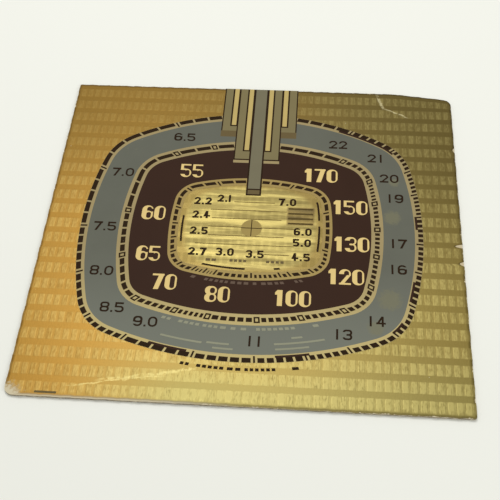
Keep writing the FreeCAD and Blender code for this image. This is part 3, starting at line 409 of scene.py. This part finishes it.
def makePaste():
    # dried paste: amber, blotchy, with a faint gloss
    material, tree, shader = newMaterial("driedPaste", Roughness=0.6, Specular_IOR_Level=0.3)
    grain = useGroup(tree, grainGroup, Fineness=pasteLook["fineness"])
    blotchy = mixColour(tree, grain.outputs["Tone"], pasteLook["dark"], pasteLook["pale"])
    tree.links.new(blotchy, shader.inputs["Base Color"])
    addBump(tree, shader, grain.outputs["Height"], pasteLook["bump"], pasteLook["bumpDepth"])
    return material


# the foil's colours: painted light and reflection by place on the card (four corner tones and a painted
# highlight at the front), then what multiplies or adds to them, then where it is worn
toneSet = {"topLeft": (0.22, 0.120, 0.009), "topRight": (0.110, 0.076, 0.009),
           "lowLeft": (0.285, 0.148, 0.012), "lowRight": (0.190, 0.137, 0.024),
           "front": (0.200, 0.160, 0.036),
           "centreLeft": (0.285, 0.218, 0.052), "centreRight": (0.232, 0.176, 0.040),
           "margin": (0.80, 0.73, 0.62), "note": (0.52, 0.46, 0.36), "dull": (0.75, 0.75, 0.75),
           "bright": (0.14, 0.12, 0.045), "stampAndSheen": (0.165, 0.145, 0.056), "edge": (0.55, 0.52, 0.50),
           "crease": (0.50, 0.44, 0.24), "scuff": (0.56, 0.48, 0.18), "bare": (0.62, 0.54, 0.36)}
bulge = 3  # a scale's outline is where the cubes of x and y, as shares of its half size, add up to 1
# the centre field: a painted sheen in streaks along x and waves down y, and how far its streaks reach
fieldSet = {"side": 0.025, "streakStretch": 0.10, "streaks": 420.0, "pitch": 0.0049, "phase": 2.34,
            "wave": 0.09, "dullTo": 0.35, "brightFrom": 0.68, "streakTo": 0.42, "plainFrom": 0.60,
            "noteSoft": 0.0012}


def fieldShare(tree, axes):
    # the sum of the cubes of x and y, each as a share of the inner scale's half size: 1 on its bulged outline
    bed = np.array(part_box("inner_scale_bed"))
    total = 0.0
    for axis, name in enumerate(("X", "Y")):
        middle, half = bed[:, axis].mean(), np.diff(bed[:, axis])[0] / 2
        share = mathNode(tree, "MULTIPLY_ADD", axes[name], 1 / half, -middle / half)
        cube = mathNode(tree, "POWER", mathNode(tree, "ABSOLUTE", share), bulge)
        total = mathNode(tree, "ADD", cube, total)
    return total


def boxMask(tree, axes, nodeName, soft):
    # 1 within the node's box on the face, falling to 0 over a soft rim
    lowest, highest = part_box(nodeName)
    mask = 1.0
    for axis, name in enumerate(("X", "Y")):
        rise = smoothStep(tree, axes[name], lowest[axis] - soft, lowest[axis])
        fall = smoothStep(tree, axes[name], highest[axis] + soft, highest[axis])
        mask = mathNode(tree, "MULTIPLY", mathNode(tree, "MULTIPLY", rise, fall), mask)
    return mask


def centreTones(tree, axes, x):
    # painted sheen and light: dull to bright by brushed streaks along x plus a sine of y, painted lighter at
    # the left, plain near the field's rim and darker at the note
    tones = toneSet
    place = objectPlace(tree, (fieldSet["streakStretch"], 1.0, 1.0))
    brushedSheen = noiseAt(tree, place, fieldSet["streaks"])
    turn = mathNode(tree, "MULTIPLY_ADD", axes["Y"], math.tau / fieldSet["pitch"], fieldSet["phase"])
    brushedSheen = mathNode(tree, "MULTIPLY_ADD", mathNode(tree, "SINE", turn), fieldSet["wave"], brushedSheen)
    across = smoothStep(tree, x, -fieldSet["side"], fieldSet["side"])
    centre = mixColour(tree, across, tones["centreLeft"], tones["centreRight"])
    plain = mixColour(tree, 1.0, centre, tones["margin"], "MULTIPLY")
    dull = mixColour(tree, 1.0, centre, tones["dull"], "MULTIPLY")
    bright = mixColour(tree, 1.0, centre, tones["bright"], "ADD")
    shine = smoothStep(tree, brushedSheen, fieldSet["dullTo"], fieldSet["brightFrom"])
    rim = smoothStep(tree, fieldShare(tree, axes), fieldSet["streakTo"], fieldSet["plainFrom"])
    centre = mixColour(tree, rim, mixColour(tree, shine, dull, bright), plain)
    noted = mixColour(tree, 1.0, centre, tones["note"], "MULTIPLY")
    return mixColour(tree, boxMask(tree, axes, "centre_note_rules", fieldSet["noteSoft"]), centre, noted)


# how the painted light and reflection drift over the card, with the bounds of the painted front highlight, in
# metres, and the streaky painted sheen on the stamped cells
driftSet = {"noise": 9.0, "wander": 0.03, "side": 0.075, "tilt": 0.2, "downFrom": 0.060, "downTo": -0.025,
            "frontFrom": -0.050, "frontTo": -0.088, "frontLeft": -0.080, "frontRight": -0.020}
sheenSet = {"stretch": 0.25, "streaks": 1500.0, "gain": 2.6, "cellGain": 0.35, "start": -0.85,
            "least": 0.28, "across": 0.32, "down": 0.55, "front": 1.0}
# worn places: a point and a reach, or two ends and a width; the front rim is worn pale on its left half
wearSet = {"corner": (-0.0945, -0.0905, 0.0085),
           "creases": (((0.0575, 0.0890), (0.0620, 0.0775), 0.0009),
                       ((0.0610, 0.0790), (0.0740, 0.0720), 0.0005)),
           "scuffs": (((-0.0600, -0.0810), (-0.0150, -0.0725), 0.0010),
                      ((-0.0725, -0.0840), (-0.0283, -0.0762), 0.0004)),
           "edgeShare": 0.8, "creaseShare": 0.7, "scuffShare": 0.45, "specks": 0.06, "speckShare": 0.7,
           "flakes": 420.0, "flakeEdge": 0.35, "flakeFrom": 0.86, "flakeTo": 0.98,
           "rimFrom": -0.0840, "rimTo": -0.0872, "rimRight": 0.010, "rimLeft": -0.040}
foilLook = {"metal": 0.60, "rough": 0.38, "bareRough": 0.4, "cellRough": 0.08, "creaseDepth": 2.0,
            "bump": 0.30, "bumpDepth": 0.00006}


def makeFoil():
    # foil: brassy metal, painted light and reflection as four corner tones mixed by x and y, the stamped
    # cells lighter with a painted sheen, then its wear
    tones = toneSet
    material, tree, shader = newMaterial("stampedFoil", Specular_IOR_Level=0.5)
    place = objectPlace(tree)
    axes = splitParts(tree, "ShaderNodeSeparateXYZ", place)
    stamp = addNode(tree, "ShaderNodeAttribute", attribute_name="stamp")
    cell, tone, outside = splitParts(tree, "ShaderNodeSeparateColor", stamp.outputs["Color"])
    edge = stamp.outputs["Alpha"]
    # painted light and reflection: the four corner tones and the painted highlight at the front, mixed by a
    # place that wanders slowly
    drift = swing(tree, noiseAt(tree, place, driftSet["noise"], detail=2.0, rough=0.5), driftSet["wander"])
    x = mathNode(tree, "ADD", axes["X"], drift)
    y = mathNode(tree, "ADD", axes["Y"], drift)
    across = smoothStep(tree, x, -driftSet["side"], driftSet["side"])
    tilted = mathNode(tree, "MULTIPLY_ADD", x, driftSet["tilt"], y)
    down = smoothStep(tree, tilted, driftSet["downFrom"], driftSet["downTo"])
    body = mixColour(tree, down, mixColour(tree, across, tones["topLeft"], tones["topRight"]),
                     mixColour(tree, across, tones["lowLeft"], tones["lowRight"]))
    # the painted highlight along the front, from the middle rightwards
    front = mathNode(tree, "MULTIPLY", smoothStep(tree, y, driftSet["frontFrom"], driftSet["frontTo"]),
                     smoothStep(tree, x, driftSet["frontLeft"], driftSet["frontRight"]))
    body = mixColour(tree, front, body, tones["front"])
    body = mixColour(tree, outside, centreTones(tree, axes, x), body)
    # the stamped cells lighter, with a painted sheen: fine upright streaks, each cell lighter or darker than
    # the next, the painted sheen stronger low, to the right and at the front
    streak = noiseAt(tree, objectPlace(tree, (1.0, sheenSet["stretch"], 1.0)), sheenSet["streaks"])
    start = mathNode(tree, "MULTIPLY_ADD", tone, sheenSet["cellGain"], sheenSet["start"])
    lit = mathNode(tree, "MULTIPLY_ADD", streak, sheenSet["gain"], start, clamp=True)
    strength = mathNode(tree, "MULTIPLY_ADD", down, sheenSet["down"], sheenSet["least"])
    strength = mathNode(tree, "MULTIPLY_ADD", across, sheenSet["across"], strength)
    strength = mathNode(tree, "MULTIPLY_ADD", front, sheenSet["front"], strength)
    stamped = mathNode(tree, "MULTIPLY", cell, outside)
    stampAndSheen = mathNode(tree, "MULTIPLY", stamped, mathNode(tree, "MULTIPLY", lit, strength))
    shown = mixColour(tree, stampAndSheen, body, tones["stampAndSheen"], "ADD")
    # the rolled rim painted darker, and wear that still has its foil: creases and scuffs
    rolled = mathNode(tree, "MULTIPLY", edge, wearSet["edgeShare"])
    shown = mixColour(tree, rolled, shown, tones["edge"], "MULTIPLY")
    creased = scratchMasks(tree, wearSet["creases"])
    folded = mathNode(tree, "MULTIPLY", creased, wearSet["creaseShare"])
    shown = mixColour(tree, folded, shown, tones["crease"])
    scuffed = mathNode(tree, "MULTIPLY", scratchMasks(tree, wearSet["scuffs"]), wearSet["scuffShare"])
    shown = mixColour(tree, scuffed, shown, tones["scuff"])
    # bare paper: flakes, the front rim, the corner and specks
    flaking = mathNode(tree, "MULTIPLY_ADD", edge, wearSet["flakeEdge"],
                       noiseAt(tree, place, wearSet["flakes"], detail=4.0, rough=0.7))
    flaked = smoothStep(tree, flaking, wearSet["flakeFrom"], wearSet["flakeTo"])
    rim = mathNode(tree, "MULTIPLY", smoothStep(tree, axes["Y"], wearSet["rimFrom"], wearSet["rimTo"]),
                   smoothStep(tree, x, wearSet["rimRight"], wearSet["rimLeft"]))
    flaked = mathNode(tree, "MAXIMUM", flaked, mathNode(tree, "MULTIPLY", rim, edge))
    specks = useGroup(tree, speckGroup, Amount=wearSet["specks"]).outputs["Mask"]
    bare = mathNode(tree, "MAXIMUM", spotMasks(tree, [wearSet["corner"]]), flaked)
    bare = mathNode(tree, "MAXIMUM", bare, mathNode(tree, "MULTIPLY", specks, wearSet["speckShare"]))
    tree.links.new(mixColour(tree, bare, shown, tones["bare"]), shader.inputs["Base Color"])
    metal = mathNode(tree, "MULTIPLY_ADD", bare, -foilLook["metal"], foilLook["metal"])
    tree.links.new(metal, shader.inputs["Metallic"])
    rough = mathNode(tree, "MULTIPLY_ADD", bare, foilLook["bareRough"], foilLook["rough"])
    rough = mathNode(tree, "MULTIPLY_ADD", cell, foilLook["cellRough"], rough)
    tree.links.new(rough, shader.inputs["Roughness"])
    relief = mathNode(tree, "SUBTRACT", streak, mathNode(tree, "MULTIPLY", creased, foilLook["creaseDepth"]))
    addBump(tree, shader, relief, foilLook["bump"], foilLook["bumpDepth"])
    return material


def newPiece(name, points, faces, material):
    # a mesh piece from an array of points and a list of faces, riding on the card's one body
    mesh = bpy.data.meshes.new(name)
    mesh.from_pydata(points.tolist(), [], faces)
    mesh.update()
    piece = bpy.data.objects.new(name, mesh)
    bpy.context.scene.collection.objects.link(piece)
    mesh.materials.append(material)
    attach(piece, "root")
    return piece


def cornersOf(nodeName):
    # the node's own corners as rows of x, y and z
    mesh = frame["nodes"][nodeName].data
    corners = np.empty(len(mesh.vertices) * 3)
    mesh.vertices.foreach_get("co", corners)
    return corners.reshape(-1, 3)


def outlineOf(nodeName):
    # the node's lowest and highest y at any x, read off its own corners: its outline is convex
    corners = cornersOf(nodeName)
    low = corners[corners[:, 1] < 0]
    high = corners[corners[:, 1] >= 0]
    low = low[np.argsort(low[:, 0])]
    high = high[np.argsort(high[:, 0])]
    return (lambda x: np.interp(x, low[:, 0], low[:, 1])), (lambda x: np.interp(x, high[:, 0], high[:, 1]))


def waveNoise(along, seed, length, octaves=4):
    # half a sum of sines about zero, each about half as long as the last and 1, 1/2, 1/3 and so on as high
    dice = np.random.default_rng(seed)
    total = np.zeros_like(along)
    for octave in range(octaves):
        turns = dice.uniform(0.8, 1.3) * 2 ** octave
        total += np.sin(2 * np.pi * along * turns / length + dice.uniform(0, 2 * np.pi)) / (octave + 1)
    return total / 2


# the stamped foil in metres; each chip in its right side is a y, a depth and a half width
foilSet = {"cellPitch": 0.00355, "cellWidth": 0.0026, "cellBevel": 0.00035, "rowPitch": 0.0084,
           "rowCentre": -0.0009, "cellHeight": 0.0056, "stampDepth": 0.00002, "stepsAcross": 3, "stepsUp": 4,
           "fray": 0.00016, "frayLength": 0.0096, "fraySeeds": (3, 5), "margin": 0.012,
           "rollWidth": 0.0012, "rollDepth": 0.00012, "edgeSteps": (0.0003, 0.0006, 0.0009, 0.0013),
           "clear": 1.2, "finest": 0.00004, "gapShine": 0.35, "toneSeed": 11, "toneCells": 400,
           "stampFrom": 0.80, "stampSoft": 0.05, "chipSteps": (-1, -0.5, 0, 0.5, 1),
           "chips": ((-0.0053, 0.0034, 0.0011), (-0.0149, 0.0018, 0.0013), (0.052, 0.0010, 0.0016))}


def breakLines(low, high, pitch, centre, width, steps, extra=()):
    # grid lines at the rim and at the feet and shoulders of every stamped cell, with even steps on its top
    first = math.floor((low - centre) / pitch)
    last = math.ceil((high - centre) / pitch)
    middles = centre + pitch * np.arange(first, last + 1)
    shoulder = width / 2 - foilSet["cellBevel"]
    offsets = np.concatenate([[-width / 2], np.linspace(-shoulder, shoulder, steps + 1), [width / 2]])
    lines = (middles[:, None] + offsets[None, :]).ravel()
    rolled = np.array(foilSet["edgeSteps"])
    clear = foilSet["clear"] * rolled[-1]  # the cells' lines keep out of the rolled rim
    lines = lines[(lines > low + clear) & (lines < high - clear)]
    lines = np.sort(np.concatenate([lines, low + rolled, high - rolled, np.array(extra), [low, high]]))
    return lines[np.concatenate([[True], np.diff(lines) > foilSet["finest"]])]


def topHat(value, pitch, centre, width):
    # 1 on a cell, 0 between cells and a straight bevel between
    away = np.abs((value - centre + pitch / 2) % pitch - pitch / 2)
    return np.clip((width / 2 - away) / foilSet["cellBevel"], 0, 1)


def drawIn(value, low, high, newLow, newHigh):
    # value as it is in the middle; within a margin of either end it is squeezed to the new end
    margin = foilSet["margin"]
    lowShare = np.clip((low + margin - value) / margin, 0, 1)
    highShare = np.clip((value - high + margin) / margin, 0, 1)
    return value + lowShare * (newLow - low) + highShare * (newHigh - high)


def edgeRoll(value, low, high):
    # 1 at either end, falling smoothly to 0 over the rolled width
    away = np.minimum(value - low, high - value)
    share = np.clip(1 - away / foilSet["rollWidth"], 0, 1)
    return share * share * (3 - 2 * share)


def outsideScales(x, y):
    # 0 within the outer scale and 1 outside it, by the sum of the cubes of x and y as shares of its half size
    scale = np.array(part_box("outer_scale_bed"))
    middle = scale[:, :2].mean(axis=0)
    half = (scale[1, :2] - scale[0, :2]) / 2
    reach = (np.abs(x - middle[0]) / half[0]) ** bulge + (np.abs(y - middle[1]) / half[1]) ** bulge
    return np.clip((reach - foilSet["stampFrom"]) / foilSet["stampSoft"], 0, 1)


def closedGrid(top, wide, tall, underZ):
    # a grid of points as quads, a skirt from its rim down to underZ and one face under it
    index = np.arange(wide * tall).reshape(wide, tall)
    quads = np.stack([index[:-1, :-1], index[1:, :-1], index[1:, 1:], index[:-1, 1:]], axis=-1).reshape(-1, 4)
    rim = np.concatenate([index[:-1, 0], index[-1, :-1], index[:0:-1, -1], index[0, :0:-1]])
    under = top[rim].copy()
    under[:, 2] = underZ
    start = len(top)
    step = np.arange(len(rim))
    after = np.roll(step, -1)
    skirt = np.stack([rim[step], start + step, start + after, rim[after]], axis=-1)
    base = [list(range(start + len(rim) - 1, start - 1, -1))]
    return np.concatenate([top, under]), quads.tolist() + skirt.tolist() + base


def makeFoilPiece():
    # a grid over the card, drawn in to the frayed outline, rolled down at its rim, stamped outside the scales
    lowest, highest = [np.array(corner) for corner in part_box("foil_face")]
    lowLine, highLine = outlineOf("foil_face")
    pitch, cellWidth, cellHeight = foilSet["cellPitch"], foilSet["cellWidth"], foilSet["cellHeight"]
    rowPitch, rowCentre = foilSet["rowPitch"], foilSet["rowCentre"]
    chipLines = [middle + share * width for middle, depth, width in foilSet["chips"]
                 for share in foilSet["chipSteps"]]
    xs = breakLines(lowest[0], highest[0], pitch, 0.0, cellWidth, foilSet["stepsAcross"])
    ys = breakLines(lowest[1], highest[1], rowPitch, rowCentre, cellHeight, foilSet["stepsUp"], chipLines)
    gridX, gridY = np.meshgrid(xs, ys, indexing="ij")
    sideSeed, endSeed = foilSet["fraySeeds"]
    frayX = foilSet["fray"] * (1 + waveNoise(gridY, sideSeed, foilSet["frayLength"]))
    frayY = foilSet["fray"] * (1 + waveNoise(gridX, endSeed, foilSet["frayLength"]))
    chipped = sum(depth * np.clip(1 - ((gridY - middle) / width) ** 2, 0, 1)
                  for middle, depth, width in foilSet["chips"])
    x = drawIn(gridX, lowest[0], highest[0], lowest[0] + frayX, highest[0] - frayX - chipped)
    y = drawIn(gridY, lowest[1], highest[1], lowLine(x) + frayY, highLine(x) - frayY)
    rowShare = topHat(gridY, rowPitch, rowCentre, cellHeight)
    cell = topHat(gridX, pitch, 0.0, cellWidth) * rowShare
    outside = outsideScales(x, y)
    # the stamped cells' own lighter tone, which carries the painted sheen, with a share on the gaps between
    # the cells of a row
    shine = foilSet["gapShine"] * rowShare + (1 - foilSet["gapShine"]) * cell
    roll = np.maximum(edgeRoll(gridX, lowest[0], highest[0]), edgeRoll(gridY, lowest[1], highest[1]))
    cells = foilSet["toneCells"]
    columns = np.round(gridX / pitch).astype(int) + cells // 2
    rows = np.round((gridY - rowCentre) / rowPitch).astype(int) + cells // 2
    tone = np.random.default_rng(foilSet["toneSeed"]).random((cells, cells))[columns, rows]
    z = highest[2] - foilSet["stampDepth"] * (1 - cell) * outside * (1 - roll) - foilSet["rollDepth"] * roll
    top = np.stack([x, y, z], axis=-1).reshape(-1, 3)
    points, faces = closedGrid(top, *x.shape, lowest[2])
    piece = newPiece("foilSheet", points, faces, makeFoil())
    stamp = np.ones((len(points), 4), dtype=np.float32)  # 1 on the skirt
    for channel, mask in enumerate((shine, tone, outside, roll)):
        stamp[:len(top), channel] = mask.ravel()
    layer = piece.data.color_attributes.new("stamp", "FLOAT_COLOR", "POINT")
    layer.data.foreach_set("color", stamp.ravel())
    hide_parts("foil_face")
    print("foil:", len(faces), "faces")


def outlineLoop(nodeName, count):
    # the node's convex outline as evenly spaced points, anticlockwise, and the outward direction at each
    flat = np.unique(np.round(cornersOf(nodeName)[:, :2], 7), axis=0)  # to a tenth of a micrometre
    loop = flat[np.argsort(np.arctan2(flat[:, 1], flat[:, 0]))]
    closed = np.concatenate([loop, loop[:1]])
    along = np.concatenate([[0], np.cumsum(np.hypot(*np.diff(closed, axis=0).T))])
    places = np.linspace(0, along[-1], count, endpoint=False)
    points = np.stack([np.interp(places, along, closed[:, axis]) for axis in (0, 1)], axis=-1)
    tangent = np.roll(points, -1, axis=0) - np.roll(points, 1, axis=0)
    outward = np.stack([tangent[:, 1], -tangent[:, 0]], axis=-1) / np.hypot(*tangent.T)[:, None]
    return points, outward, places


# the board and the paste, in metres, and the waves of their worn rims
boardSet = {"bevel": 0.00035, "bevelSteps": 4, "sideSteps": 4, "points": 900, "wobble": 0.00010,
            "setBack": 0.00005}
pasteSet = {"bevel": 0.00002, "bevelSteps": 1, "sideSteps": 1, "points": 720, "wobble": 0.00010,
            "setBack": 0.00035}
rimSet = {"firstSeed": 20, "seeds": 3, "waveLength": 0.011}


def makeLayerPiece(name, nodeName, sizes, material):
    # a stack of rings round the outline: softened at both faces and worn in and out along its rim
    lowest, highest = [np.array(corner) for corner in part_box(nodeName)]
    points, outward, places = outlineLoop(nodeName, sizes["points"])
    turn = np.linspace(0, math.pi / 2, sizes["bevelSteps"] + 1)
    inset = sizes["bevel"] * (1 - np.sin(turn))
    rise = sizes["bevel"] * (1 - np.cos(turn))
    side = np.linspace(lowest[2] + sizes["bevel"], highest[2] - sizes["bevel"], sizes["sideSteps"] + 1)[1:-1]
    insets = np.concatenate([inset, np.zeros(len(side)), inset[::-1]])
    heights = np.concatenate([lowest[2] + rise, side, highest[2] - rise[::-1]])
    rings = []
    for number, (inwards, height) in enumerate(zip(insets, heights)):
        wave = waveNoise(places, rimSet["firstSeed"] + number % rimSet["seeds"], rimSet["waveLength"])
        wear = sizes["wobble"] * (1 + wave) + sizes["setBack"]
        flat = points - outward * (inwards + np.maximum(wear, 0))[:, None]
        rings.append(np.column_stack([flat, np.full(len(flat), height)]))
    count = sizes["points"]
    step = np.arange(count)
    after = np.roll(step, -1)
    faces = [list(range(count - 1, -1, -1))]
    for ring in range(len(rings) - 1):
        low, high = ring * count, (ring + 1) * count
        faces += np.stack([low + step, low + after, high + after, high + step], axis=-1).tolist()
    faces.append(list(range((len(rings) - 1) * count, len(rings) * count)))
    piece = newPiece(name, np.concatenate(rings), faces, material)
    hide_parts(nodeName)
    print(name + ":", len(faces), "faces")


floorSet = {"reach": 3.0, "drop": 0.00002, "colour": (0.86, 0.865, 0.80)}


def makeFloor():
    # plain pale floor just under the card
    reach = floorSet["reach"]
    low = -floorSet["drop"]
    corners = [(-reach, -reach, low), (reach, -reach, low), (reach, reach, low), (-reach, reach, low)]
    mesh = bpy.data.meshes.new("floor")
    mesh.from_pydata(corners, [], [(0, 1, 2, 3)])
    floor = bpy.data.objects.new("floor", mesh)
    bpy.context.scene.collection.objects.link(floor)
    material, tree, shader = newMaterial("paleFloor", Roughness=0.9, Specular_IOR_Level=0.1)
    shader.inputs["Base Color"].default_value = (*floorSet["colour"], 1.0)
    mesh.materials.append(material)


lightSet = {"worldTint": (1.0, 1.0, 0.975), "worldPower": 0.50, "keyPower": 5.0, "size": 0.5,
            "keyPlace": (-0.10, 0.42, 0.92), "fillPower": 3.0, "fillPlace": (0.8, -0.55, 0.7)}


def makeLight(name, place, power):
    # a square soft light aimed at the card's middle
    lamp = bpy.data.lights.new(name, "AREA")
    lamp.shape = "SQUARE"
    lamp.size = lightSet["size"]
    lamp.energy = power
    light = bpy.data.objects.new(name, lamp)
    light.location = place
    light.rotation_euler = Vector(place).to_track_quat("Z", "Y").to_euler()
    bpy.context.scene.collection.objects.link(light)


def makeStudio():
    # an even pale surround with one soft light behind the card and one in front
    world = bpy.data.worlds.new("softStudio")
    world.use_nodes = True
    background = world.node_tree.nodes["Background"]
    background.inputs["Color"].default_value = (*lightSet["worldTint"], 1.0)
    background.inputs["Strength"].default_value = lightSet["worldPower"]
    bpy.context.scene.world = world
    makeLight("keyLight", lightSet["keyPlace"], lightSet["keyPower"])
    makeLight("fillLight", lightSet["fillPlace"], lightSet["fillPower"])


cameraSet = {"lens": 63.72, "distance": 0.3971, "elevation": 54.65, "azimuth": 5.78, "roll": -2.28,
             "aimX": 0.000226, "aimY": -0.012263, "clipStart": 0.01}


def makeCamera():
    # looks back along a direction given by elevation and azimuth, then rolls about it
    elevation, azimuth, roll = [math.radians(cameraSet[name]) for name in ("elevation", "azimuth", "roll")]
    back = Vector((math.sin(azimuth) * math.cos(elevation), -math.cos(azimuth) * math.cos(elevation),
                   math.sin(elevation)))
    level = Vector((math.cos(azimuth), math.sin(azimuth), 0.0))
    right = math.cos(roll) * level + math.sin(roll) * back.cross(level)
    up = back.cross(right)
    aim = Vector((cameraSet["aimX"], cameraSet["aimY"], packedBox[1][2]))
    turn = Matrix((right, up, back)).transposed().to_4x4()
    lens = bpy.data.cameras.new("photoCamera")
    lens.lens = cameraSet["lens"]
    lens.clip_start = cameraSet["clipStart"]
    camera = bpy.data.objects.new("photoCamera", lens)
    camera.matrix_world = Matrix.Translation(aim + back * cameraSet["distance"]) @ turn
    bpy.context.scene.collection.objects.link(camera)
    bpy.context.scene.camera = camera


bpy.context.scene.view_settings.view_transform = "Standard"
makeCamera()
makeStudio()
makeFloor()
print("camera, lights and floor set")
paintNodes()
makeFoilPiece()
makeLayerPiece("wornBoard", "backing_board", boardSet, makePaper())
makeLayerPiece("pasteLayer", "paste_film", pasteSet, makePaste())
